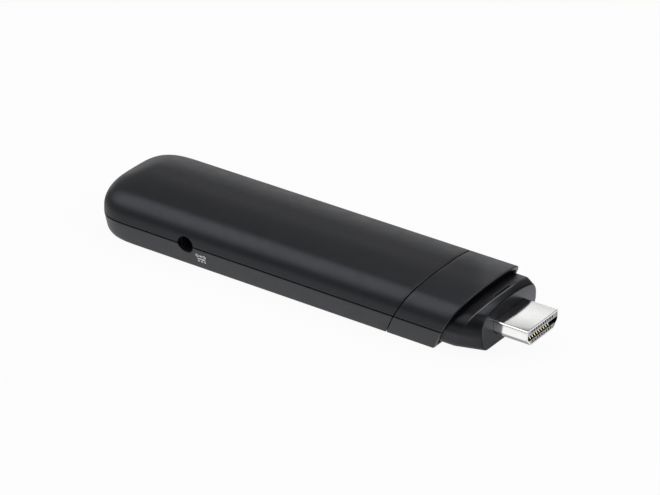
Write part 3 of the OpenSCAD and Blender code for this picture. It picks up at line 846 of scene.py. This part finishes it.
def lower_band(inset):
    return both_sides(lower_profile(inset, LOWER_EDGE_RADIUS, [LOWER_EDGE_Z - FIT])[::-1])


def collar_ribs(band):
    """Two ribs inside a half of the collar that bear on the nose's sleeve."""
    outline, inner = [band(inset) for inset in COLLAR_RIB_INSETS]
    return [
        arched_rib("collar_rib", outline, inner, x, x + COLLAR_RIB, SEAM_SLANT)
        for x in COLLAR_RIB_PLACES
    ]


def upper_ring():
    ring = collar_band("upper_ring", upper_outside, upper_inside(COLLAR_WALL, COLLAR_WALL), 1)
    weld(ring, *collar_ribs(upper_band))
    return ring


def lower_ring():
    ring = collar_band("lower_ring", lower_outside, lower_inside(COLLAR_WALL), -1)
    weld(ring, *collar_ribs(lower_band))
    return ring


settle(upper_ring(), COLLAR, "upper_collar")
settle(lower_ring(), COLLAR, "lower_collar")


# Nose

NOSE_EDGE_RADIUS = 2.5
NOSE_HEIGHT_SHARE = 0.92
NOSE_FRONT_WIDTH = 0.865
NOSE_FRONT_TOP = 0.92
NOSE_FRONT_FOOT = 0.89
NOSE_FADE = 1.1
NOSE_TAPER_X = COLLAR_X + 1.5
NOSE_BEVEL_X = NOSE_X - NOSE_BEVEL
SLEEVE_X = SEAM_X - 3
NOSE_WALL_POINTS = 6
NOSE_SIDE_START_Z = PARTING_Z + 0.5
NOSE_SIDE_POINTS = 4
CREASE_RING = 1 + BEND_POINTS // 2
PLUG_OPENING_DEPTH = 3
PLUG_OPENING_FIT = 0.8 * FIT
FACING = 0.99

# The crease carries a painted highlight where it is high and, going across, until it fades on the
# far side
HIGHLIGHT_START_Z = 9
HIGHLIGHT_RISE = 3
HIGHLIGHT_END_Y = 6
HIGHLIGHT_FADE = 4

PLUG_SIDE = 2.65
PLUG_FOOT = 1.78
PLUG_CORNER = 0.45
CHAMFER_SHARE = 0.4


def nose_z(z):
    """Above the parting line the nose is a little lower than the casing."""
    return PARTING_Z + NOSE_HEIGHT_SHARE * (z - PARTING_Z)


def front_z(z):
    """Height on the face for a height on the crease."""
    return BOARD_MID + (z - BOARD_MID) * (NOSE_FRONT_TOP if z > BOARD_MID else NOSE_FRONT_FOOT)


def nose_loop(inset):
    """Closed section (y, z) of the nose, from its near lower corner over the crest."""
    wall = np.linspace(inset + NOSE_EDGE_RADIUS, PARTING_Z, NOSE_WALL_POINTS)
    side = np.linspace(NOSE_SIDE_START_Z, SHOULDER_Z, NOSE_SIDE_POINTS)[:-1]
    half = lower_profile(inset, NOSE_EDGE_RADIUS, wall)
    upper = [(inset, HALF_WIDTH - inset, z) for z in side] + upper_profile(inset)
    half += [(i, y, nose_z(z)) for i, y, z in upper]
    return both_sides(half)


def nose_crease_x(inset, z):
    """The bevel starts near the face at the crest and farther back toward the underside."""
    rise = max(z - inset, 0) / (nose_z(BODY_HEIGHT - inset) - inset)
    return NOSE_TAPER_X + (NOSE_BEVEL_X - NOSE_TAPER_X) * rise**NOSE_FADE


def bent(before, corner, after):
    """Points on a smooth bend that leaves one line and joins the other."""
    bend = []
    for t in np.linspace(0, 1, BEND_POINTS):
        bend.append(before * (1 - t) ** 2 + corner * 2 * t * (1 - t) + after * t**2)
    return bend


def nose_rings():
    """Outer rings from the sleeve's rear edge over the crease and the front edge to the face."""
    lines = []
    for y, z in nose_loop(NOSE_INSET):
        crease = np.array([nose_crease_x(NOSE_INSET, z), y, z])
        front = np.array([NOSE_X, y * NOSE_FRONT_WIDTH, front_z(z)])
        centre = np.array([NOSE_X, 0, BOARD_MID])
        down = (front - crease) / np.linalg.norm(front - crease)
        inward = (centre - front) / np.linalg.norm(centre - front)
        before = crease - np.array([NOSE_CREASE_ROUND, 0, 0])
        line = [np.array([slanted(SLEEVE_X, z), y, z])]
        line += bent(before, crease, crease + down * NOSE_CREASE_ROUND)
        line += bent(front - down * NOSE_FRONT_ROUND, front, front + inward * NOSE_FRONT_ROUND)
        lines.append(line)
    return np.swapaxes(np.array(lines), 0, 1)


def nose_hollow():
    """Inner rings from the face's back to the sleeve's rear edge."""
    inset = NOSE_INSET + NOSE_WALL
    face = NOSE_X - NOSE_WALL
    loop = nose_loop(inset)
    front = [(face, y * NOSE_FRONT_WIDTH, front_z(z)) for y, z in loop]
    middle = [(nose_crease_x(inset, z) - NOSE_WALL, y, z) for y, z in loop]
    rear = [(slanted(SLEEVE_X, z), y, z) for y, z in loop]
    return [front, middle, rear]


def paint_highlight(thing, points, amounts):
    """Notes how strong the painted highlight is at some of its points, in millimetres; elsewhere
    there is none.
    """
    lookup = KDTree(len(points))
    for i, point in enumerate(points):
        lookup.insert(Vector(point) * MM, i)
    lookup.balance()
    painted_highlight = thing.data.attributes.new("painted_highlight", "FLOAT", "POINT")
    for vertex in thing.data.vertices:
        _, i, distance = lookup.find(vertex.co)
        painted_highlight.data[vertex.index].value = amounts[i] if distance < SAME_POINT * MM else 0.0


def plug_outline(grow):
    """Outline (y, z) of the plug's shell, grown on every side."""
    half = PLUG_WIDTH / 2 + grow
    top = PLUG_HEIGHT / 2 + grow
    turn = PLUG_HEIGHT / 2 - PLUG_SIDE - grow * CHAMFER_SHARE
    foot = PLUG_WIDTH / 2 - PLUG_FOOT + grow * CHAMFER_SHARE
    corners = [(-foot, -top), (foot, -top), (half, turn), (half, top), (-half, top), (-half, turn)]
    return [(y, BOARD_MID + z) for y, z in rounded(corners, PLUG_CORNER + grow)]


def nose_cover():
    """The hollow nose with the plug's opening in its face and a painted highlight along its crease.
    """
    surface = Surface()
    rings = nose_rings()
    outer = surface.add(rings)
    hollow = surface.add(nose_hollow())
    surface.stack(outer)
    surface.stack(hollow)
    surface.join(outer[0], hollow[-1])
    surface.cap(outer[-1])
    surface.cap(hollow[0])
    cover = new_object("nose_cover", surface)
    opening = plug_outline(PLUG_OPENING_FIT)
    cut(cover, prism_x("plug_tool", opening, NOSE_X - PLUG_OPENING_DEPTH, NOSE_X + BEYOND))
    # Painted highlight along the crease, strongest where it is high and on the near side
    crease = rings[CREASE_RING]
    high = np.clip((crease[:, 2] - HIGHLIGHT_START_Z) / HIGHLIGHT_RISE, 0, 1)
    near = np.clip((HIGHLIGHT_END_Y - crease[:, 1]) / HIGHLIGHT_FADE, 0, 1)
    paint_highlight(cover, crease, high * near)
    return cover


def polish_front(cover):
    """Gives the nose's flat front a finish of its own."""
    cover.data.materials.append(NOSE_FACE)
    for face in cover.data.polygons:
        if face.normal.x > FACING and face.center.x > (NOSE_X - FIT) * MM:
            face.material_index = len(cover.data.materials) - 1


nose = nose_cover()
settle(nose, NOSE, "nose", smooth_angle=40)
polish_front(nose)

DETENT_LENGTH = 7.0
DETENT_WIDTH = 0.6
DETENT_HEIGHT = 0.35
DETENT_SUNK = 0.1
DETENT_X = NOSE_BEVEL_X - 0.7
DETENT_END = 0.35
DETENT_END_LEAST = 0.04
DETENT_POINTS = 25
DETENT_STEPS = 10
# Strength of the painted highlight on the ridge's crest
DETENT_HIGHLIGHT = 0.7


def detent_ridge():
    """The long low ridge across the nose's crest, just behind the bevel."""
    surface = Surface()
    base_z = nose_z(BODY_HEIGHT - NOSE_INSET) - DETENT_SUNK
    rows = []
    for y in np.linspace(-DETENT_LENGTH / 2, DETENT_LENGTH / 2, DETENT_POINTS):
        end = min(1.0, DETENT_END_LEAST + (DETENT_LENGTH / 2 - abs(y)) / DETENT_END)
        row = []
        for a in arc(0, 180, DETENT_STEPS):
            rise = (DETENT_SUNK + DETENT_HEIGHT) * math.sin(a) * math.sqrt(end)
            row.append((DETENT_X - DETENT_WIDTH / 2 * math.cos(a), y, base_z + rise))
        rows.append(row)
    index = surface.add(rows)
    surface.skin(index)
    surface.cap(np.concatenate([index[:, 0], index[::-1, -1]]))
    surface.cap(index[0])
    surface.cap(index[-1])
    ridge = new_object("detent_ridge", surface)
    # Painted highlight along the ridge's crest
    crest = [row[DETENT_STEPS // 2] for row in rows]
    paint_highlight(ridge, crest, [DETENT_HIGHLIGHT] * len(crest))
    return ridge


settle(detent_ridge(), NOSE)


# Plug

PLUG_REAR_X = NOSE_X - 6.7
PLUG_LEAD = 0.15
PLUG_DRAW = 0.5
PLUG_TAB = 4.0
PLUG_TAB_HEIGHT = 1.7


def plug_tab(side):
    """A tab behind one side of the shell, soldered to the board."""
    middle = side * (PLUG_WIDTH - PLUG_SHEET) / 2
    faces = (middle - PLUG_SHEET / 2, middle + PLUG_SHEET / 2)
    outline = oblong(*faces, BOARD_MID, BOARD_MID + PLUG_TAB_HEIGHT)
    return prism_x("plug_tab", outline, PLUG_REAR_X - PLUG_TAB - OVERLAP, PLUG_REAR_X + OVERLAP)


def plug_shell():
    """Folded tube whose front edge is drawn in a little and rounded, with two tabs behind."""
    surface = Surface()
    lead = reversed(fillet(PLUG_LEAD, LEAD_STEPS)[:-1])
    stations = [(PLUG_REAR_X, 0.0), (NOSE_X, 0.0), (TIP_X - PLUG_LEAD, 0.0)]
    stations += [(TIP_X - d, -PLUG_DRAW * i) for d, i in lead]
    tubes = []
    for sheet in (0, PLUG_SHEET):
        rings = [[(x, y, z) for y, z in plug_outline(grow - sheet)] for x, grow in stations]
        tubes.append(surface.add(rings))
        surface.stack(tubes[-1])
    outer, inner = tubes
    surface.join(outer[0], inner[0])
    surface.join(outer[-1], inner[-1])
    shell = new_object("plug_shell", surface)
    weld(shell, plug_tab(-1), plug_tab(1))
    return shell


settle(plug_shell(), STEEL, "hdmi_shell", smooth_angle=35)

# The mouth follows the photograph: the slot is wider and lower than the solid's
SLOT_MID = BOARD_MID - 0.3
SLOT_WIDTH = 13.4
SLOT_HEIGHT = 1.4
SLOT_DEPTH = 7.0
INSULATOR_FRONT_X = TIP_X - 0.15
GROOVE_WIDTH = 0.58
UPPER_GROOVE = (BOARD_MID + 0.85, BOARD_MID + 1.5)
LOWER_GROOVE = (BOARD_MID - 1.7, BOARD_MID - 1.15)
GROOVES = {1: UPPER_GROOVE, -1: LOWER_GROOVE}
GROOVE_OPEN = 4.5
GROOVE_BRIDGE = 0.3
GROOVE_BEYOND = 1

CONTACT_ROWS = ((1, 10), (-1, 9))
CONTACT_PITCH = 1.0
CONTACT_WIDTH = 0.4
CONTACT_SHEET = 0.2
CONTACT_ARCH = 0.13
CONTACT_ARCH_TURN = 75
CONTACT_ARCH_STEPS = 8
CONTACT_REACH = 0.1
CONTACT_FOOT = (PLUG_REAR_X - 3, PLUG_REAR_X - 1)
CONTACT_STEP_X = PLUG_REAR_X - 0.2

# A contact's crest, with the bend round it as (along, away) from the crest itself
CREST_X = INSULATOR_FRONT_X - 1.25
CREST_RAMP = 1.6
CREST_BEND = ((-0.25, 0.06), (0, 0), (0.2, 0.07), (0.35, 0.22))
CREST_LEAD = 0.8


def contact_places():
    """(side, y) of every contact: ten above the plug's slot and nine below it."""
    places = []
    for side, count in CONTACT_ROWS:
        places += [(side, (i - (count - 1) / 2) * CONTACT_PITCH) for i in range(count)]
    return places


def plug_insulator():
    """Moulding inside the plug: a slot for the socket's tongue, with a groove per contact."""
    outline = plug_outline(-PLUG_SHEET - FIT / 2)
    moulding = prism_x("plug_insulator", outline, PLUG_REAR_X, INSULATOR_FRONT_X)
    aside = SLOT_WIDTH / 2
    up = SLOT_HEIGHT / 2
    slot = oblong(-aside, aside, SLOT_MID - up, SLOT_MID + up)
    tools = [prism_x("slot_tool", slot, INSULATOR_FRONT_X - SLOT_DEPTH, TIP_X)]
    open_from = INSULATOR_FRONT_X - GROOVE_OPEN
    open_to = INSULATOR_FRONT_X - GROOVE_BRIDGE
    for side, y in contact_places():
        sides = (y - GROOVE_WIDTH / 2, y + GROOVE_WIDTH / 2)
        groove = oblong(*sides, *GROOVES[side])
        opening = oblong(*sides, *sorted((SLOT_MID, sum(GROOVES[side]) / 2)))
        tools.append(prism_x("groove_tool", groove, PLUG_REAR_X - GROOVE_BEYOND, TIP_X))
        tools.append(prism_x("opening_tool", opening, open_from, open_to))
    cut(moulding, *tools)
    return moulding


settle(plug_insulator(), INSULATOR, "hdmi_insulator")


def contact_line(tail, level):
    """Inner face of a contact from the side: (x, distance from the slot's middle), board to tip."""
    line = [(x, tail) for x in CONTACT_FOOT]
    line += [(CONTACT_STEP_X, level), (CREST_X - CREST_RAMP, level)]
    line += [(CREST_X + along, CONTACT_REACH + away) for along, away in CREST_BEND]
    line += [(CREST_X + CREST_LEAD, level)]
    return line


def contact_fingers():
    """Sprung contacts, each a coined strip with an arched face and a steep lead-in."""
    surface = Surface()
    half = CONTACT_WIDTH / 2
    turns = arc(-CONTACT_ARCH_TURN, CONTACT_ARCH_TURN, CONTACT_ARCH_STEPS)
    face = [(half * math.sin(a), CONTACT_ARCH * (1 - math.cos(a))) for a in turns]
    section = [(-half, CONTACT_SHEET)] + face + [(half, CONTACT_SHEET)]
    for side, place in contact_places():
        tail = side * (BOARD_MID - SLOT_MID) + BOARD_HALF
        level = min(abs(z - SLOT_MID) for z in GROOVES[side]) + FIT / 2
        rings = []
        for x, away in contact_line(tail, level):
            rings.append([(x, place + y, SLOT_MID + side * (away + out)) for y, out in section])
        surface.solid(surface.add(rings))
    return new_object("contact_fingers", surface)


settle(contact_fingers(), GOLD, "hdmi_contacts", smooth_angle=35)


# Print beside the power socket: a polarity mark over the sign for direct current

PRINT_X = -27.8
PRINT_Z = 4.25
PRINT_FOOT = -0.05
PRINT_FACE = 0.02
POLE_SPACING = 1.08
POLE_RADIUS = 0.48
POLE_STROKE = 0.2
SOCKET_RADIUS = 0.34
MARK_GAP = 0.03
MARK_HALF = 0.17
MARK_STROKE = 0.14
CURRENT_UP = -1.05
CURRENT_STEP = 0.8
CURRENT_LENGTH = 2.4
CURRENT_STROKE = 0.44
CORNER_SHARE = 0.25
CORNER_STEPS = 3


def wall_point(x, up, out):
    """A point on the lower near wall, up along the wall from the print's middle and out from it."""
    z = PRINT_Z + up * math.cos(LEAN) - out * math.sin(LEAN)
    y = -lower_y(0, PRINT_Z) - up * math.sin(LEAN) - out * math.cos(LEAN)
    return (PRINT_X + x, y, z)


def print_patch(surface, outline):
    """A filled patch, from its outline of (x, up) points."""
    rings = [[wall_point(*place, out) for place in outline] for out in (PRINT_FOOT, PRINT_FACE)]
    surface.solid(surface.add(rings))


def print_bar(surface, x0, x1, up, stroke):
    """A level stroke with rounded corners."""
    corners = oblong(x0, x1, up - stroke / 2, up + stroke / 2)
    print_patch(surface, rounded(corners, CORNER_SHARE * stroke, CORNER_STEPS))


def print_circle(x, radius, steps=32):
    return [(x + dx, up) for dx, up in circle(radius, steps)]


def print_ring(surface, x):
    """The ring round one pole's sign."""
    inner = POLE_RADIUS - POLE_STROKE
    outside = [(POLE_RADIUS, PRINT_FOOT), (POLE_RADIUS, PRINT_FACE)]
    inside = [(inner, PRINT_FACE), (inner, PRINT_FOOT)]
    rings = []
    for radius, out in outside + inside:
        rings.append([wall_point(*place, out) for place in print_circle(x, radius)])
    loops = surface.add(rings)
    surface.stack([*loops, loops[0]])


def print_plus(surface, x):
    half = MARK_STROKE / 2
    arm = [(MARK_HALF, -half), (MARK_HALF, half), (half, half)]
    outline = []
    for quarter in range(4):
        turn = Matrix.Rotation(quarter * math.pi / 2, 2)
        outline += [tuple(turn @ Vector(corner)) for corner in arm]
    print_patch(surface, [(x + across, up) for across, up in outline])


def polarity_mark(surface):
    """A minus in a ring, the socket as a dot and a plus in a ring, on one line."""
    for side in (-1, 1):
        print_ring(surface, side * POLE_SPACING)
        near_end = side * (SOCKET_RADIUS + MARK_GAP)
        far_end = side * (POLE_SPACING - POLE_RADIUS - MARK_GAP)
        print_bar(surface, *sorted((near_end, far_end)), 0, POLE_STROKE)
    print_patch(surface, print_circle(0, SOCKET_RADIUS))
    print_bar(surface, -POLE_SPACING - MARK_HALF, -POLE_SPACING + MARK_HALF, 0, MARK_STROKE)
    print_plus(surface, POLE_SPACING)


def current_sign(surface):
    """A bar over three dashes."""
    print_bar(surface, -CURRENT_LENGTH / 2, CURRENT_LENGTH / 2, CURRENT_UP, CURRENT_STROKE)
    dash = CURRENT_LENGTH / 4
    lower = CURRENT_UP - CURRENT_STEP
    for middle in (-1.5 * dash, 0, 1.5 * dash):
        print_bar(surface, middle - dash / 2, middle + dash / 2, lower, CURRENT_STROKE)


def socket_print():
    surface = Surface()
    polarity_mark(surface)
    current_sign(surface)
    return new_object("direct_current_sign", surface)


settle(socket_print(), PRINT)


# Finishes of the pieces that come from the solids

NODE_FINISHES = (
    (BOARD, ["mainboard", "wireless_module"]),
    (CHIP, ["processor", "memory_chips", "storage_chip", "power_chip"]),
    (PAD, ["thermal_pad"]),
    (ALUMINIUM, ["heat_spreader"]),
    (FERRITE, ["inductors"]),
    (CERAMIC, ["capacitors"]),
    (STEEL, ["crystal", "wireless_shield", "usb_shell", "jack_pin", "jack_spring"]),
    (GOLD, ["antenna", "usb_contacts"]),
    (BLACK_MOULDING, ["usb_tongue", "jack_housing", "switch_body"]),
    (IVORY, ["switch_plunger"]),
    (SCREW_STEEL, ["screws"]),
)
for finish, nodes in NODE_FINISHES:
    for node in nodes:
        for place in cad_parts[node].material_slots:
            place.material = finish


# Studio

FLOOR_RADIUS = 4000.0
FLOOR_STEPS = 96
PAPER = (0.82, 0.82, 0.82, 1)
WHITE = (1, 1, 1, 1)
POOL = {"x": -15.0, "y": 12.0, "stretch": 4.0, "full": 20.0, "end": 75.0, "least": 0.1}
PLUG_POOL = {"x": 48.5, "y": -19.0, "stretch": 1.6, "full": 5.0, "end": 9.0, "least": 0.0}
SHADE_HALF = 6.0
SHADE_FRONT = 54.0
SHADE_LEAST = 0.35
FLOOR_SHARE = 0.94


def round_floor():
    surface = Surface()
    rim = surface.add([[(x, y, 0) for x, y in circle(FLOOR_RADIUS, FLOOR_STEPS)]])
    surface.cap(rim[0])
    return new_object("floor", surface)


def oval(tree, point, x, y, stretch, full, end, least):
    """1 inside an oval on the floor, down to the least at its end."""
    squeeze = {0: point, 1: (1 / stretch, 1, 1), 2: (-x * MM / stretch, -y * MM, 0)}
    across = add_node(tree, "VectorMath", squeeze, "MULTIPLY_ADD").outputs["Vector"]
    reach = add_node(tree, "VectorMath", {0: across}, "LENGTH").outputs["Value"]
    return remap(tree, reach, full * MM, end * MM, 1.0, least)


def floor_finish():
    """White paper with a soft shadow; in reflections it glows as painted pools of light round the
    object and the plug, with painted shade under the object.
    """
    finish = bpy.data.materials.new("white_floor")
    finish.use_nodes = True
    tree = finish.node_tree
    tree.nodes.remove(tree.nodes["Principled BSDF"])
    path = add_node(tree, "LightPath").outputs
    camera_ray = path["Is Camera Ray"]
    point = object_place(tree)
    split = add_node(tree, "SeparateXYZ", {"Vector": point}).outputs

    # Painted shade under the object and painted pools of light round it, seen only in reflections
    ahead = maths(tree, "SUBTRACT", split["X"], SHADE_FRONT * MM)
    aside = maths(tree, "MAXIMUM", maths(tree, "ABSOLUTE", split["Y"]), ahead)
    shade = remap(tree, aside, SHADE_HALF * MM, 2 * SHADE_HALF * MM, SHADE_LEAST, 1.0)
    lit = maths(tree, "MULTIPLY", oval(tree, point, **POOL), shade)
    lit = maths(tree, "MAXIMUM", lit, oval(tree, point, **PLUG_POOL))
    strength = maths(tree, "MAXIMUM", lit, camera_ray)

    seen = camera_ray
    for kind in ("Is Glossy Ray", "Is Transmission Ray"):
        seen = maths(tree, "MAXIMUM", seen, path[kind])
    share = maths(tree, "MULTIPLY", seen, FLOOR_SHARE)
    paper = add_node(tree, "BsdfDiffuse", {"Color": PAPER}).outputs[0]
    glow = add_node(tree, "Emission", {"Color": WHITE, "Strength": strength}).outputs[0]
    mix = add_node(tree, "MixShader", {0: share, 1: paper, 2: glow})
    tree.links.new(mix.outputs[0], tree.nodes["Material Output"].inputs["Surface"])
    return finish


floor = round_floor()
floor.data.materials.append(floor_finish())

ROOM_LIGHT = 0.22
DARK_CORNER = (0.3, 0.75, 0.58)
DARK_LEAST = 0.02
DARK_FROM = math.cos(math.radians(50))
DARK_FULL = math.cos(math.radians(26))


def grey_room():
    """An evenly grey room with one dark corner, behind the plug."""
    room = bpy.data.worlds.new("studio")
    room.use_nodes = True
    tree = room.node_tree
    direction = add_node(tree, "TexCoord").outputs["Generated"]
    vectors = {0: direction, 1: Vector(DARK_CORNER).normalized()}
    toward = add_node(tree, "VectorMath", vectors, "DOT_PRODUCT").outputs["Value"]
    strength = remap(tree, toward, DARK_FROM, DARK_FULL, ROOM_LIGHT, DARK_LEAST)
    light = tree.nodes["Background"].inputs
    light["Color"].default_value = WHITE
    tree.links.new(strength, light["Strength"])
    return room


scene.world = grey_room()


def softbox(name, target, direction, distance, width, height, brightness, spread=180):
    """A lamp, in metres, facing a point in millimetres; brightness 1 is white in a mirror."""
    lamp = bpy.data.lights.new(name, "AREA")
    lamp.shape = "RECTANGLE"
    lamp.size = width
    lamp.size_y = height
    lamp.energy = brightness * math.pi * width * height
    if spread < 180:
        half = math.radians(spread / 2)
        lamp.spread = 2 * half
        lamp.energy *= 1 - half / math.tan(half)
    thing = bpy.data.objects.new(name, lamp)
    away = Vector(direction).normalized()
    thing.location = Vector(target) * MM + away * distance
    thing.rotation_euler = away.to_track_quat("Z", "Y").to_euler()
    thing.visible_camera = False
    scene.collection.objects.link(thing)


MIDDLE = (0, 0, 7)
PLUG_TOP = (57, -1, 9)
softbox("key", MIDDLE, (-0.49, -0.47, 0.73), distance=0.9, width=0.9, height=0.9, brightness=1.6)
softbox("right", MIDDLE, (0.8, 0.05, 0.6), distance=0.5, width=0.5, height=0.4, brightness=1.8)
softbox("top", MIDDLE, (-0.02, 0.47, 0.88), distance=0.8, width=0.24, height=0.24, brightness=5.5)
softbox("back", MIDDLE, (-0.7, 0.71, 0.12), distance=1.6, width=1.7, height=0.44, brightness=1.08)
softbox(
    "plug_card", PLUG_TOP, (-0.444, 0.755, 0.482),
    distance=0.03, width=0.022, height=0.015, brightness=0.92, spread=32,
)

# Camera at the photograph's viewing angle

CAMERA_PLACE = Vector((457.40, -681.44, 444.14)) * MM
CAMERA_FORWARD = Vector((-0.4922, 0.7338, -0.4683))
CAMERA_RIGHT = Vector((0.8251, 0.5647, 0.0176))
FOCAL_LENGTH = 208.64

lens = bpy.data.cameras.new("camera")
lens.sensor_width = 36.0
lens.lens = FOCAL_LENGTH
lens.clip_start = 0.05
lens.clip_end = 20.0
camera = bpy.data.objects.new("camera", lens)
back = -CAMERA_FORWARD.normalized()
right = (CAMERA_RIGHT - CAMERA_RIGHT.dot(back) * back).normalized()
up = back.cross(right)
turn = Matrix((right, up, back)).transposed().to_4x4()
camera.matrix_world = Matrix.Translation(CAMERA_PLACE) @ turn
scene.collection.objects.link(camera)
scene.camera = camera
scene.view_settings.view_transform = "Standard"
